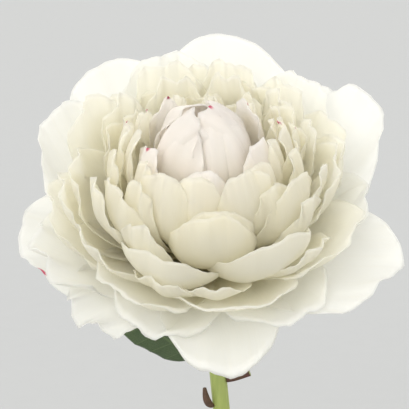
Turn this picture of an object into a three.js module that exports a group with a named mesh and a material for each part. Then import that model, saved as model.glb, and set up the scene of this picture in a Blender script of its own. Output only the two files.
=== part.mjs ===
// A double peony cut for the house, standing in a plain ceramic bud vase.
//
// Millimetres, +Z up, the front of the flower towards -Y. The origin is the middle of the vase's flat
// foot. The stem leans in the vase: its cut end stands on the inner floor and its side rests on the
// throat. Above the mouth it bends forwards, and the bloom nods with it.
//
// The bloom has a frame of its own: its axis runs from the stem up through the heart, and its origin is
// where the stem meets the receptacle. Each petal is a thin curved sheet whose narrow claw is seated on
// the receptacle. The petals come in eight whorls, one inside the other, and each whorl's claws sit one
// step higher up the receptacle than those of the whorl outside it.

import * as THREE from "three";

// ---- Driving dimensions ---------------------------------------------------------------------------

const SEAT_GAP = 0.3; // between two pieces that touch

const VASE_HEIGHT = 148;
const VASE_FOOT_RADIUS = 29;
const VASE_BELLY_PULL = 47; // how far out the body's curve is drawn below the shoulder
const VASE_SHOULDER_HEIGHT = 106; // where the body has run into the neck
const VASE_NECK_RADIUS = 13.2;
const VASE_LIP_RADIUS = 16.5;
const VASE_WALL = 3.4;
const VASE_FLOOR = 6;

const STEM_RADIUS = 3.5;
const STEM_LEAN = 5.5; // degrees to the side, inside the vase and a little above it
const STEM_RISE = 86; // from the vase's mouth to the receptacle
const STEM_BEND = 54; // height of the bend between the straight stem and the bloom
const STEM_BEND_PULL = 0.36; // how far into the bend the stem keeps each end's direction, as a share of it
const STEM_GRID = { sides: 12, steps: 20 };
const STALK_GRID = { sides: 8, steps: 4 };

const BLOOM_NOD = 33; // degrees that the bloom's axis tips forwards from upright
const BLOOM_SIDE = -2; // degrees that it tips to the side, to the left as seen from the front
const BLOOM_RADIUS = 74; // reach of the widest guard petals
const BLOOM_HEIGHT = 76; // from the receptacle's foot to the tips of the heart
const BLOOM_SPREAD = 0.14; // how much further it reaches sideways, as a share

const PETAL_THICKNESS = 0.8;
const SEPAL_THICKNESS = 1.2;

const RECEPTACLE = { footRadius: 4.6, rimRadius: 12.5, rimHeight: 3.4, topRadius: 3, topHeight: 18 };

const LEAF_NODE_HEIGHT = 36; // the leaf's joint on the stem, above the vase's mouth
const LEAF_LENGTH = 70;
const LEAF_WIDTH = 25;
const LEAF_THICKNESS = 0.9;
const LEAF_START = new THREE.Vector3(-0.9, 0.38, 0.2); // the way it leaves the stem
const LEAF_REACH = new THREE.Vector3(-0.72, 0.38, 0.28); // from its joint to its tip, as shares of its length
const LEAF_TIP = new THREE.Vector3(-0.9, 0.3, 0.06); // the way its tip points
const LEAF_BEND = 0.35; // share of the length over which it keeps each of these directions
const LEAF_EDGE = new THREE.Vector3(0.1, -0.25, 1); // the way its upper edge faces
const LEAF_FOLD = 0.22; // slope of the blade's halves away from the midrib
const LEAF_WIDEST = 0.8; // below 1 puts the widest place nearer the stem
const LEAF_STALK_WIDTH = 2.6;
const LEAF_STALK_SHARE = 0.08; // share of the length before the blade begins
const LEAF_GRID = { across: 4, along: 12 };

const CUT_STALK = { height: 28.5, direction: new THREE.Vector3(0.9, -0.1, 0.25), length: 9.5, radius: 1.5 };
const DRY_SCALE = { height: 17, direction: new THREE.Vector3(-0.4, -0.2, 0.95), length: 9, radius: 1.1 };

// ---- Petals ---------------------------------------------------------------------------------------
//
// Each whorl lies on a bowl of its own. The bowl is given by the rib that a petal would follow: its tip's
// distance from the axis (reach, a share of BLOOM_RADIUS) and height (rise, a share of BLOOM_HEIGHT), the
// angle at which it leaves the receptacle (lift, above square to the axis), the angle of its tip from the
// axis (lean, outwards) and how far it keeps each direction (belly, a share of its length). A pair holds
// the value in front, at -90 degrees, and at the back, at 90 degrees.
//
// claw is how many degrees a petal takes up at its seat. tuck is how far one edge stands out from the bowl
// and the other in from it where the petal is widest, which slides each edge under or over the next petal.
// Each petal then has its compass angle round the axis (at), how many degrees it takes up where it is
// widest (span), its length as a share of the rib's, and flare, how far its tip stands out from the bowl.
// Tucks and flares are in millimetres.

const WHORLS = [
  {
    name: "guard_low", claw: 40, tuck: 2.7, belly: 0.4,
    reach: [0.9, 0.95], rise: [0.05, 0.75], lift: [-8, 12], lean: [84, 22],
    petals: [
      { at: -88, span: 64, length: 0.95, flare: 0 },
      { at: -21, span: 63, length: 1.01, flare: 1 },
      { at: 34, span: 60, length: 1.02, flare: 2 },
      { at: 80, span: 68, length: 1, flare: 0 },
      { at: 123, span: 60, length: 1, flare: 0 },
      { at: -176, span: 55, length: 0.93, flare: 2 },
      { at: -137, span: 50, length: 0.88, flare: 2 },
    ],
  },
  {
    name: "guard_high", claw: 41, tuck: 2.3, belly: 0.42,
    reach: [0.83, 0.84], rise: [0.26, 0.76], lift: [0, 22], lean: [44, 10],
    petals: [
      { at: -50, span: 64, length: 0.84, flare: 0 },
      { at: 3, span: 52, length: 0.83, flare: 0 },
      { at: 52, span: 56, length: 0.96, flare: 0 },
      { at: 105, span: 60, length: 1, flare: 0 },
      { at: 150, span: 51, length: 1.02, flare: 0 },
      { at: -164, span: 54, length: 0.95, flare: 0 },
      { at: -116, span: 64, length: 0.8, flare: 0 },
    ],
  },
  {
    name: "bowl_outer", claw: 42, tuck: 2.3, belly: 0.43,
    reach: [0.72, 0.7], rise: [0.44, 0.76], lift: [8, 30], lean: [16, 0],
    petals: [
      { at: -77, span: 73, length: 0.98, flare: 0 },
      { at: -24, span: 59, length: 0.97, flare: 0 },
      { at: 27, span: 55, length: 0.96, flare: 0 },
      { at: 84, span: 64, length: 1, flare: 0 },
      { at: 136, span: 58, length: 0.96, flare: 0 },
      { at: -175, span: 53, length: 0.98, flare: 0 },
      { at: -126, span: 57, length: 1, flare: 0 },
    ],
  },
  {
    name: "bowl_inner", claw: 46, tuck: 1.9, belly: 0.44,
    reach: [0.59, 0.58], rise: [0.64, 0.77], lift: [15, 37], lean: [-8, -6],
    petals: [
      { at: -56, span: 65, length: 1, flare: 0 },
      { at: 4, span: 59, length: 0.97, flare: 0 },
      { at: 62, span: 62, length: 0.98, flare: 0 },
      { at: 118, span: 63, length: 0.96, flare: 0 },
      { at: 176, span: 56, length: 1, flare: 0 },
      { at: -116, span: 64, length: 0.98, flare: 0 },
    ],
  },
  {
    name: "cup_outer", claw: 46, tuck: 1.5, belly: 0.45,
    reach: [0.45, 0.46], rise: [0.8, 0.8], lift: [22, 43], lean: [-24, -12],
    petals: [
      { at: -88, span: 63, length: 0.99, flare: 0 },
      { at: -28, span: 56, length: 1, flare: 0 },
      { at: 32, span: 56, length: 1, flare: 0 },
      { at: 90, span: 60, length: 0.92, flare: 0 },
      { at: 148, span: 54, length: 0.96, flare: 0 },
      { at: -152, span: 56, length: 1, flare: 0 },
    ],
  },
  {
    name: "cup_inner", claw: 48, tuck: 1.2, belly: 0.46,
    reach: [0.32, 0.35], rise: [0.92, 0.88], lift: [31, 50], lean: [-36, -16],
    petals: [
      { at: -58, span: 57, length: 1, flare: 0 },
      { at: 6, span: 53, length: 1, flare: 0 },
      { at: 66, span: 51, length: 0.86, flare: 0 },
      { at: 172, span: 50, length: 1, flare: 0 },
      { at: -124, span: 57, length: 1, flare: 0 },
    ],
  },
  {
    name: "crown", claw: 48, tuck: 0.9, belly: 0.46,
    reach: [0.2, 0.24], rise: [0.98, 0.97], lift: [41, 56], lean: [-44, -20],
    petals: [
      { at: -94, span: 58, length: 1, flare: 0 },
      { at: -26, span: 51, length: 1, flare: 0 },
      { at: 36, span: 40, length: 1, flare: 0 },
      { at: 132, span: 34, length: 1.02, flare: 0 },
      { at: -158, span: 44, length: 0.98, flare: 0 },
    ],
  },
  {
    name: "heart", claw: 48, tuck: 1.1, belly: 0.46,
    reach: [0.06, 0.1], rise: [1, 1], lift: [52, 62], lean: [-60, -50],
    petals: [
      { at: -59, span: 60, length: 0.98, flare: 0 },
      { at: 30, span: 57, length: 1, flare: 0 },
      { at: 118, span: 61, length: 1, flare: 0 },
      { at: -150, span: 60, length: 0.98, flare: 0 },
    ],
  },
];

const SEPALS = {
  name: "sepal", claw: 46, tuck: 0.4, belly: 0.4,
  reach: [0.42, 0.4], rise: [-0.13, 0.06], lift: [-28, -14], lean: [96, 66],
  petals: [
    { at: -96, span: 42, length: 1, flare: 0 },
    { at: -22, span: 45, length: 0.94, flare: 0 },
    { at: 48, span: 38, length: 1, flare: 0 },
    { at: 118, span: 48, length: 0.94, flare: 0 },
    { at: -168, span: 38, length: 1, flare: 0 },
  ],
};
const SEPAL_SEAT = -0.42; // place under the receptacle's rim

const CLAW_TUCK = 0.044; // how far a claw's edges stand out and in, as a share of its width
const PETAL_GRID = { across: 5, along: 6 };
const PETAL_WIDEST = 0.66; // share of the length at which a petal is widest
const PETAL_TIP_WIDTH = 0.94; // width at the end, as a share of the widest
const PETAL_TIP_ROUND = 0.27; // how far the corners fall short of the tip, as a share of the length
const PETAL_TIP_SQUARE = 2.6; // 2 rounds the tip to an arc, more squares it off

// ---- Materials ------------------------------------------------------------------------------------

const material = (color, roughness) => new THREE.MeshStandardMaterial({ color, roughness, metalness: 0 });
const CERAMIC = material(0xe6e3da, 0.25);
const STEM_GREEN = material(0x9aa65a, 0.5);
const SEPAL_GREEN = material(0x8f9f5e, 0.55);
const LEAF_GREEN = material(0x46552f, 0.5);
const BARK_BROWN = material(0x54402f, 0.65);
const PETAL_WHITE = material(0xf4f1e4, 0.6);
const HEART_BLUSH = material(0xf2e8dc, 0.6);

// ---- Shared shape code ----------------------------------------------------------------------------

const radians = THREE.MathUtils.degToRad;

function named(name, geometry, finish) {
  const mesh = new THREE.Mesh(geometry, finish);
  mesh.name = name;
  return mesh;
}

// A closed sheet of even thickness about the middle surface surface(u, v), u from -1 to 1 across it and
// v from 0 to 1 along it.
function sheetGeometry(surface, thickness, { across, along }) {
  const step = 1e-3;
  const faces = [[], []];
  for (let j = 0; j <= along; j++)
    for (let i = 0; i <= across; i++) {
      const u = (2 * i) / across - 1;
      const v = j / along;
      const middle = surface(u, v);
      const sideways = surface(u + step, v).sub(surface(u - step, v));
      const onwards = surface(u, v + step).sub(surface(u, v - step));
      const normal = sideways.cross(onwards).normalize();
      faces[0].push(middle.clone().addScaledVector(normal, thickness / 2));
      faces[1].push(middle.clone().addScaledVector(normal, -thickness / 2));
    }
  const row = across + 1;
  const back = faces[0].length;
  const triangles = [];
  const quad = (a, b, c, d) => triangles.push(a, b, c, a, c, d);
  for (let j = 0; j < along; j++)
    for (let i = 0; i < across; i++) {
      // the diagonal runs to the nearer far corner, so that no sliver is left at a rounded tip
      const corners = [0, 1, row + 1, row].map((k) => j * row + i + k);
      if (2 * i < across - 1) corners.push(corners.shift());
      const [a, b, c, d] = corners;
      quad(a, b, c, d);
      quad(back + a, back + d, back + c, back + b);
    }
  const edge = [];
  for (let i = 0; i < across; i++) edge.push(i);
  for (let j = 0; j < along; j++) edge.push(j * row + across);
  for (let i = across; i > 0; i--) edge.push(along * row + i);
  for (let j = along; j > 0; j--) edge.push(j * row);
  edge.forEach((a, k) => {
    const b = edge[(k + 1) % edge.length];
    quad(a, back + a, back + b, b);
  });
  const geometry = new THREE.BufferGeometry().setFromPoints(faces.flat());
  geometry.setIndex(triangles);
  return geometry;
}

// ---- Vase -----------------------------------------------------------------------------------------

// The outside of the wall, in radius and height: one curve for the body and one for the neck.
const vaseBody = new THREE.CubicBezierCurve(
  new THREE.Vector2(VASE_FOOT_RADIUS, 0),
  new THREE.Vector2(VASE_BELLY_PULL, VASE_SHOULDER_HEIGHT * 0.48),
  new THREE.Vector2(VASE_NECK_RADIUS, VASE_SHOULDER_HEIGHT * 0.6),
  new THREE.Vector2(VASE_NECK_RADIUS, VASE_SHOULDER_HEIGHT),
);
const vaseNeck = new THREE.CubicBezierCurve(
  new THREE.Vector2(VASE_NECK_RADIUS, VASE_SHOULDER_HEIGHT),
  new THREE.Vector2(VASE_NECK_RADIUS, THREE.MathUtils.lerp(VASE_SHOULDER_HEIGHT, VASE_HEIGHT, 0.5)),
  new THREE.Vector2(VASE_NECK_RADIUS, THREE.MathUtils.lerp(VASE_SHOULDER_HEIGHT, VASE_HEIGHT, 0.75)),
  new THREE.Vector2(VASE_LIP_RADIUS, VASE_HEIGHT - VASE_WALL / 2),
);

function vaseProfile() {
  const outside = [...vaseBody.getPoints(9), ...vaseNeck.getPoints(5).slice(1)];
  const inside = outside
    .map((p) => new THREE.Vector2(p.x - VASE_WALL, p.y))
    .filter((p) => p.y > VASE_FLOOR + VASE_WALL)
    .reverse();
  const lipMiddle = new THREE.Vector2(VASE_LIP_RADIUS - VASE_WALL / 2, VASE_HEIGHT - VASE_WALL / 2);
  const lip = [45, 90, 135].map((turn) =>
    new THREE.Vector2(Math.cos(radians(turn)), Math.sin(radians(turn)))
      .multiplyScalar(VASE_WALL / 2)
      .add(lipMiddle),
  );
  const floorRadius = inside.at(-1).x - VASE_WALL;
  return [
    new THREE.Vector2(0, 0),
    ...outside,
    ...lip,
    ...inside,
    new THREE.Vector2(floorRadius, VASE_FLOOR),
    new THREE.Vector2(0, VASE_FLOOR),
  ];
}

function makeVase() {
  const lathe = new THREE.LatheGeometry(vaseProfile(), 32);
  return named("vase", lathe.rotateX(Math.PI / 2), CERAMIC);
}

// ---- Stem -----------------------------------------------------------------------------------------

// The wall's inner radius at each of some heights in the neck.
const throat = vaseNeck.getPoints(24).map((p) => ({ radius: p.x - VASE_WALL, height: p.y }));

// The leaning stem's middle line in the vase, x at a height: as far left as the throat lets it rest.
const leanSlope = Math.tan(radians(STEM_LEAN));
const leanHalfWidth = STEM_RADIUS / Math.cos(radians(STEM_LEAN));
const leanAtFloor = Math.max(
  ...throat.map(({ radius, height }) => leanHalfWidth + SEAT_GAP - radius + leanSlope * height),
);
const leaningX = (height) => leanAtFloor - leanSlope * height;

const bloomAxis = new THREE.Vector3(0, 0, 1)
  .applyAxisAngle(new THREE.Vector3(1, 0, 0), radians(BLOOM_NOD))
  .applyAxisAngle(new THREE.Vector3(0, 1, 0), radians(BLOOM_SIDE));
const bloomHeight = VASE_HEIGHT + STEM_RISE;
const bendHeight = bloomHeight - STEM_BEND;
const stemLean = new THREE.Vector3(-leanSlope, 0, 1).normalize();
const bendStart = new THREE.Vector3(leaningX(bendHeight), 0, bendHeight);
const bloomSeat = bendStart
  .clone()
  .addScaledVector(stemLean, STEM_BEND * 0.6)
  .addScaledVector(bloomAxis, STEM_BEND * 0.4);

function stemCurve() {
  const cutHeight = VASE_FLOOR + SEAT_GAP + STEM_RADIUS * Math.sin(radians(STEM_LEAN));
  const top = bloomSeat.clone().addScaledVector(bloomAxis, -SEAT_GAP);
  const curve = new THREE.CurvePath();
  curve.add(new THREE.LineCurve3(new THREE.Vector3(leaningX(cutHeight), 0, cutHeight), bendStart));
  curve.add(
    new THREE.CubicBezierCurve3(
      bendStart,
      bendStart.clone().addScaledVector(stemLean, STEM_BEND * STEM_BEND_PULL),
      top.clone().addScaledVector(bloomAxis, -STEM_BEND * STEM_BEND_PULL),
      top,
    ),
  );
  return curve;
}

const roundSection = (radius, sides) =>
  new THREE.Shape(
    Array.from({ length: sides }, (_, k) => {
      const turn = (2 * Math.PI * k) / sides;
      return new THREE.Vector2(radius * Math.cos(turn), radius * Math.sin(turn));
    }),
  );

function tubeAlong(curve, radius, { sides, steps }) {
  const along = { steps, extrudePath: curve, bevelEnabled: false };
  return new THREE.ExtrudeGeometry(roundSection(radius, sides), along);
}

// ---- Bloom ----------------------------------------------------------------------------------------

function receptacleProfile() {
  const { footRadius, rimRadius, rimHeight, topRadius, topHeight } = RECEPTACLE;
  return [
    new THREE.Vector2(0, 0),
    new THREE.Vector2(footRadius, 0),
    new THREE.Vector2(rimRadius, rimHeight),
    new THREE.Vector2(topRadius, topHeight),
    new THREE.Vector2(0, topHeight + topRadius / 2),
  ];
}

// A seat's middle and the direction out of it, in distance from the axis and height: share runs from 0
// at the rim to 1 at the top of the side. Below 0 it runs in under the rim, to -1 at the stem.
function seatOn(share, thickness) {
  const { footRadius, rimRadius, rimHeight, topRadius, topHeight } = RECEPTACLE;
  const rim = new THREE.Vector2(rimRadius, rimHeight);
  const end = share < 0 ? new THREE.Vector2(footRadius, 0) : new THREE.Vector2(topRadius, topHeight);
  const along = end.clone().sub(rim);
  const out = new THREE.Vector2(along.y, -along.x).normalize();
  if (share < 0) out.negate();
  const point = rim.addScaledVector(along, Math.abs(share)).addScaledVector(out, SEAT_GAP + thickness / 2);
  return point;
}

// The rib that a whorl's bowl has at a compass angle, as distance from the axis and height.
function ribAt(whorl, seat, turn) {
  const share = (1 + Math.sin(turn)) / 2;
  const value = ([front, back]) => THREE.MathUtils.lerp(front, back, share);
  const radius = BLOOM_RADIUS * (1 + BLOOM_SPREAD * Math.cos(turn) ** 2);
  const tip = new THREE.Vector2(value(whorl.reach) * radius, value(whorl.rise) * BLOOM_HEIGHT);
  const hold = tip.distanceTo(seat) * whorl.belly;
  const lift = radians(value(whorl.lift));
  const lean = radians(value(whorl.lean));
  return new THREE.CubicBezierCurve(
    seat,
    new THREE.Vector2(Math.cos(lift), Math.sin(lift)).multiplyScalar(hold).add(seat),
    new THREE.Vector2(-Math.sin(lean), -Math.cos(lean)).multiplyScalar(hold).add(tip),
    tip,
  );
}

// The middle surface of one petal, in the bloom's frame: a patch of its whorl's bowl.
function petalSurface(petal, whorl, seat) {
  const middle = ribAt(whorl, seat, radians(petal.at));
  const width = radians(petal.span) * middle.getPoint(PETAL_WIDEST * petal.length).x;
  const claw = radians(whorl.claw) * seat.x;
  return (u, v) => {
    const widen = Math.sin((Math.PI / 2) * Math.min(1, Math.max(0, v) / PETAL_WIDEST));
    const narrow = Math.max(0, (v - PETAL_WIDEST) / (1 - PETAL_WIDEST)) ** 2;
    const full = THREE.MathUtils.lerp(claw, width, widen);
    const half = (full / 2) * (1 - (1 - PETAL_TIP_WIDTH) * narrow);
    const place = petal.length * v * (1 - PETAL_TIP_ROUND * v * Math.abs(u) ** PETAL_TIP_SQUARE);
    const around = Math.max(middle.getPoint(place).x, claw / 2);
    const turn = radians(petal.at) + (u * half) / around;
    const rib = ribAt(whorl, seat, turn);
    const point = rib.getPoint(place);
    const ahead = rib.getTangent(THREE.MathUtils.clamp(place, 0, 1));
    const tuck = THREE.MathUtils.lerp(CLAW_TUCK, whorl.tuck / width, widen) * 2 * half;
    const out = petal.flare * v ** 3 + u * tuck;
    const radius = point.x + ahead.y * out;
    return new THREE.Vector3(radius * Math.cos(turn), radius * Math.sin(turn), point.y - ahead.x * out);
  };
}

function addPetals(bloom, name, whorl, share, thickness, finish) {
  const seat = seatOn(share, thickness);
  whorl.petals.forEach((petal, k) => {
    const sheet = sheetGeometry(petalSurface(petal, whorl, seat), thickness, PETAL_GRID);
    bloom.add(named(`${name}_${k + 1}`, sheet, finish));
  });
}

function makeBloom() {
  const bloom = new THREE.Group();
  bloom.position.copy(bloomSeat);
  bloom.quaternion.setFromUnitVectors(new THREE.Vector3(0, 0, 1), bloomAxis);
  const receptacle = new THREE.LatheGeometry(receptacleProfile(), 20).rotateX(Math.PI / 2);
  bloom.add(named("receptacle", receptacle, SEPAL_GREEN));
  addPetals(bloom, "sepal", SEPALS, SEPAL_SEAT, SEPAL_THICKNESS, SEPAL_GREEN);
  WHORLS.forEach((whorl, k) => {
    const finish = ["crown", "heart"].includes(whorl.name) ? HEART_BLUSH : PETAL_WHITE;
    addPetals(bloom, `${whorl.name}_petal`, whorl, (k + 0.4) / WHORLS.length, PETAL_THICKNESS, finish);
  });
  return bloom;
}

// ---- Leaf and stalks ------------------------------------------------------------------------------

// A point on the stem's middle line at a height, found on the finely divided curve.
function stemPointAt(height) {
  const points = stemCurve().getSpacedPoints(400);
  return points.reduce((best, p) => (Math.abs(p.z - height) < Math.abs(best.z - height) ? p : best));
}

// A leaf or stalk is joined to the stem's side: its root is SEAT_GAP clear of the bark.
function rootOn(height, direction, halfThickness) {
  const clear = STEM_RADIUS + SEAT_GAP + halfThickness;
  return stemPointAt(height).addScaledVector(direction.clone().setZ(0).normalize(), clear);
}

// The leaf: a short stalk that widens into a pointed blade, folded a little along its midrib.
function makeLeaf() {
  const start = LEAF_START.clone().normalize();
  const root = rootOn(VASE_HEIGHT + LEAF_NODE_HEIGHT, start, LEAF_THICKNESS / 2);
  const tip = root.clone().addScaledVector(LEAF_REACH, LEAF_LENGTH);
  const midrib = new THREE.CubicBezierCurve3(
    root,
    root.clone().addScaledVector(start, LEAF_LENGTH * LEAF_BEND),
    tip.clone().addScaledVector(LEAF_TIP, -LEAF_LENGTH * LEAF_BEND),
    tip,
  );
  const blade = (u, v) => {
    const share = THREE.MathUtils.clamp(v, 0, 1);
    const ahead = midrib.getTangent(share);
    const upwards = LEAF_EDGE.clone().projectOnPlane(ahead).normalize();
    const front = ahead.clone().cross(upwards);
    const bladeShare = Math.max(0, share - LEAF_STALK_SHARE) / (1 - LEAF_STALK_SHARE);
    const outline = Math.sin(Math.PI * bladeShare ** LEAF_WIDEST);
    const half = THREE.MathUtils.lerp(LEAF_STALK_WIDTH, LEAF_WIDTH, outline) / 2;
    return midrib
      .getPoint(share)
      .addScaledVector(ahead, v - share)
      .addScaledVector(upwards, u * half)
      .addScaledVector(front, -LEAF_FOLD * Math.abs(u) * half);
  };
  return named("leaf", sheetGeometry(blade, LEAF_THICKNESS, LEAF_GRID), LEAF_GREEN);
}

// A stalk left where a leaf was cut away, and the dry scale below it.
function makeStalk(name, { height, direction, length, radius }) {
  const root = rootOn(VASE_HEIGHT + height, direction, 0);
  const reach = direction.clone().normalize().multiplyScalar(length);
  const bend = new THREE.QuadraticBezierCurve3(
    root,
    root.clone().addScaledVector(direction.clone().setZ(0).normalize(), length * 0.35),
    root.clone().add(reach),
  );
  return named(name, tubeAlong(bend, radius, STALK_GRID), BARK_BROWN);
}

const part = new THREE.Group();
part.add(makeVase());
part.add(named("stem", tubeAlong(stemCurve(), STEM_RADIUS, STEM_GRID), STEM_GREEN));
part.add(makeBloom());
part.add(makeLeaf());
part.add(makeStalk("cut_stalk", CUT_STALK));
part.add(makeStalk("dry_scale", DRY_SCALE));

export default part;
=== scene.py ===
import math

import bpy
import numpy as np
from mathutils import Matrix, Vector


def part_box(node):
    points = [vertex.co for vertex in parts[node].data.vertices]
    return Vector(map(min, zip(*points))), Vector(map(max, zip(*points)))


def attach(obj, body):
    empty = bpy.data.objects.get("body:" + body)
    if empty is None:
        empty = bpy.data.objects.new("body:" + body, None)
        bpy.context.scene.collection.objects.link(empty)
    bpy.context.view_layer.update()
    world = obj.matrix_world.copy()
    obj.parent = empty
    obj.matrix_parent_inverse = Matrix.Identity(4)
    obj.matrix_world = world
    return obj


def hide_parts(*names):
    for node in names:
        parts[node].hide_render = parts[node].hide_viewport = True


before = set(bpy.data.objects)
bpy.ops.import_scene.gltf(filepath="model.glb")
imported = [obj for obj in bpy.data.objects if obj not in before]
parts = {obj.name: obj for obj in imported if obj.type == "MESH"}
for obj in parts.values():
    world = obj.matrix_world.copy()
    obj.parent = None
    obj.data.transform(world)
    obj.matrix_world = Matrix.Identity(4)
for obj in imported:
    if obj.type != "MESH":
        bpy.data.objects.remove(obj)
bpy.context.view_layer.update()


# ---- Camera --------------------------------------------------------------------------------------
# A long lens a little above the bloom, looking straight at the front of the flower and down on it
# by a few degrees. It is aimed just above the receptacle, so that the bloom fills the view.

camera_rise = math.radians(12)
camera_distance = 0.75
view_height = 0.1636
aim_lift, aim_side = 0.0155, -0.0016

seat_low, seat_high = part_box("receptacle")
aim_up = Vector((0, math.sin(camera_rise), math.cos(camera_rise)))
aim_back = Vector((0, -math.cos(camera_rise), math.sin(camera_rise)))
aim = (seat_low + seat_high) / 2 + aim_up * aim_lift + Vector((aim_side, 0, 0))

lens = bpy.data.cameras.new("camera")
lens.sensor_width = 36
lens.lens = lens.sensor_width * camera_distance / view_height
camera = bpy.data.objects.new("camera", lens)
camera.location = aim + aim_back * camera_distance
camera.rotation_euler = (-aim_back).to_track_quat("-Z", "Y").to_euler()
bpy.context.scene.collection.objects.link(camera)
bpy.context.scene.camera = camera
bpy.context.scene.view_settings.view_transform = "Standard"


# ---- Vase ----------------------------------------------------------------------------------------
# A small teardrop bud vase, thrown in pale stoneware and dipped in an off-white satin glaze. Its
# turning lines show through the glaze, which stops short of the foot, where the bare clay stands.

MM = 0.001
vase_wall = 3.4
vase_floor = 6
foot_round = 0.9
axis_hole = 0.01
vase_corners = [(29, 0), (47, 50.88), (13.2, 63.6), (13.2, 106)]
neck_corners = [(13.2, 106), (13.2, 127), (13.2, 137.5), (16.5, 146.3)]


class Wire:
    """One output of a material's nodes, which takes part in sums."""

    def __init__(self, tree, socket):
        self.tree, self.socket = tree, socket

    def node(self, kind, sockets, output=0, **settings):
        made = self.tree.nodes.new("ShaderNode" + kind)
        stops = settings.pop("stops", None)
        for name, value in settings.items():
            setattr(made, name, value)
        if stops:
            while len(made.color_ramp.elements) < len(stops):
                made.color_ramp.elements.new(1)
            for stop, (place, shade) in zip(made.color_ramp.elements, stops):
                stop.position = place
                stop.color = (*shade, 1)
        for key, value in sockets.items():
            if isinstance(value, Wire):
                self.tree.links.new(value.socket, made.inputs[key])
            else:
                made.inputs[key].default_value = value
        return Wire(self.tree, made.outputs[output])

    def maths(self, operation, *values):
        flat = self.socket.type not in ("VECTOR", "RGBA")
        kind = "Math" if flat else "VectorMath"
        if not flat and operation == "MULTIPLY" and not isinstance(values[1], Wire):
            if isinstance(values[1], (int, float)):
                return self.node(kind, {0: values[0], 3: values[1]}, operation="SCALE")
        return self.node(kind, dict(enumerate(values)), operation=operation)

    def __add__(self, other):
        return self.maths("ADD", self, other)

    def __radd__(self, other):
        return self.maths("ADD", other, self)

    def __sub__(self, other):
        return self.maths("SUBTRACT", self, other)

    def __rsub__(self, other):
        return self.maths("SUBTRACT", other, self)

    def __mul__(self, other):
        return self.maths("MULTIPLY", self, other)

    __rmul__ = __mul__

    def fade(self, low, high):
        """0 below low, 1 above high and smooth between them."""
        sockets = {"Value": self, "From Min": low, "From Max": high}
        return self.node("MapRange", sockets, interpolation_type="SMOOTHSTEP")

    def tint(self, under, over):
        """under where this is 0, over where it is 1."""
        sockets = {"Factor": self, 6: under, 7: over}
        return self.node("Mix", sockets, output=2, data_type="RGBA")

    def grain(self, scale, detail=3, rough=0.5):
        sockets = {"Vector": self, "Scale": scale, "Detail": detail, "Roughness": rough}
        return self.node("TexNoise", sockets)

    def bump(self, strength, depth):
        return self.node("Bump", {"Height": self, "Strength": strength, "Distance": depth})


def new_finish(name):
    """A material with no nodes but its output, and the wire of its place on the piece."""
    finish = bpy.data.materials.new(name)
    finish.use_nodes = True
    finish.node_tree.nodes.clear()
    finish.node_tree.nodes.new("ShaderNodeOutputMaterial")
    return finish, Wire(finish.node_tree, None).node("TexCoord", {}, output=3)


def show(finish, shader):
    out = finish.node_tree.nodes["Material Output"]
    finish.node_tree.links.new(shader.socket, out.inputs["Surface"])
    return finish


def opaque(colour, alpha=1):
    return (*colour, alpha)


def piece_from(name, points, faces, finishes, smooth=True):
    """A mesh piece in the row's frame from points in millimetres."""
    mesh = bpy.data.meshes.new(name)
    mesh.from_pydata((np.asarray(points, float) * MM).tolist(), [], faces)
    mesh.validate()
    mesh.shade_smooth() if smooth else mesh.shade_flat()
    for finish in finishes:
        mesh.materials.append(finish)
    piece = bpy.data.objects.new(name, mesh)
    bpy.context.scene.collection.objects.link(piece)
    return piece


def bezier(corners, share):
    """Points and directions on a cubic curve: corners is (..., 4, axes) and share is (...)."""
    t = np.asarray(share, float)[..., None]
    a, b, c, d = (np.asarray(corners, float)[..., k, :] for k in range(4))
    point = (1 - t) ** 3 * a + 3 * (1 - t) ** 2 * t * b + 3 * (1 - t) * t**2 * c + t**3 * d
    t = np.clip(t, 0, 1)
    ahead = (1 - t) ** 2 * (b - a) + 2 * (1 - t) * t * (c - b) + t**2 * (d - c)
    return point, ahead / np.linalg.norm(ahead, axis=-1, keepdims=True)


def ring_faces(rings, sides):
    faces = []
    for ring in range(rings - 1):
        for side in range(sides):
            a, b = ring * sides + side, ring * sides + (side + 1) % sides
            faces.append((a, b, b + sides, a + sides))
    return faces


vase_sides = 96
body_side, _ = bezier(vase_corners, np.linspace(0, 1, 40))
neck_side, _ = bezier(neck_corners, np.linspace(0, 1, 16)[1:])
outside = np.vstack([body_side, neck_side])
outside[0] = (vase_corners[0][0] - foot_round, 0)
foot_edge = np.array([[vase_corners[0][0], foot_round]])
turns = np.radians(np.arange(15, 180, 15))
lip = np.stack([np.cos(turns), np.sin(turns)], -1) * vase_wall / 2
lip += np.array(neck_corners[3]) - (vase_wall / 2, 0)
inside = (outside[outside[:, 1] > vase_floor + vase_wall] - (vase_wall, 0))[::-1]
floor_turns = np.radians(np.arange(15, 91, 15))
floor_edge = np.stack([np.cos(floor_turns), -np.sin(floor_turns)], -1) * vase_wall
floor_edge += (inside[-1][0] - vase_wall, vase_floor + vase_wall)
under_foot, inner_floor = [(axis_hole, 0)], [(axis_hole, vase_floor)]
profile = np.vstack(
    [under_foot, outside[:1], foot_edge, outside[1:], lip, inside, floor_edge, inner_floor]
)
around = np.linspace(0, 2 * math.pi, vase_sides, endpoint=False)
vase_points = np.stack(
    [
        profile[:, None, 0] * np.cos(around),
        profile[:, None, 0] * np.sin(around),
        np.broadcast_to(profile[:, None, 1], (len(profile), vase_sides)),
    ],
    -1,
).reshape(-1, 3)

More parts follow.
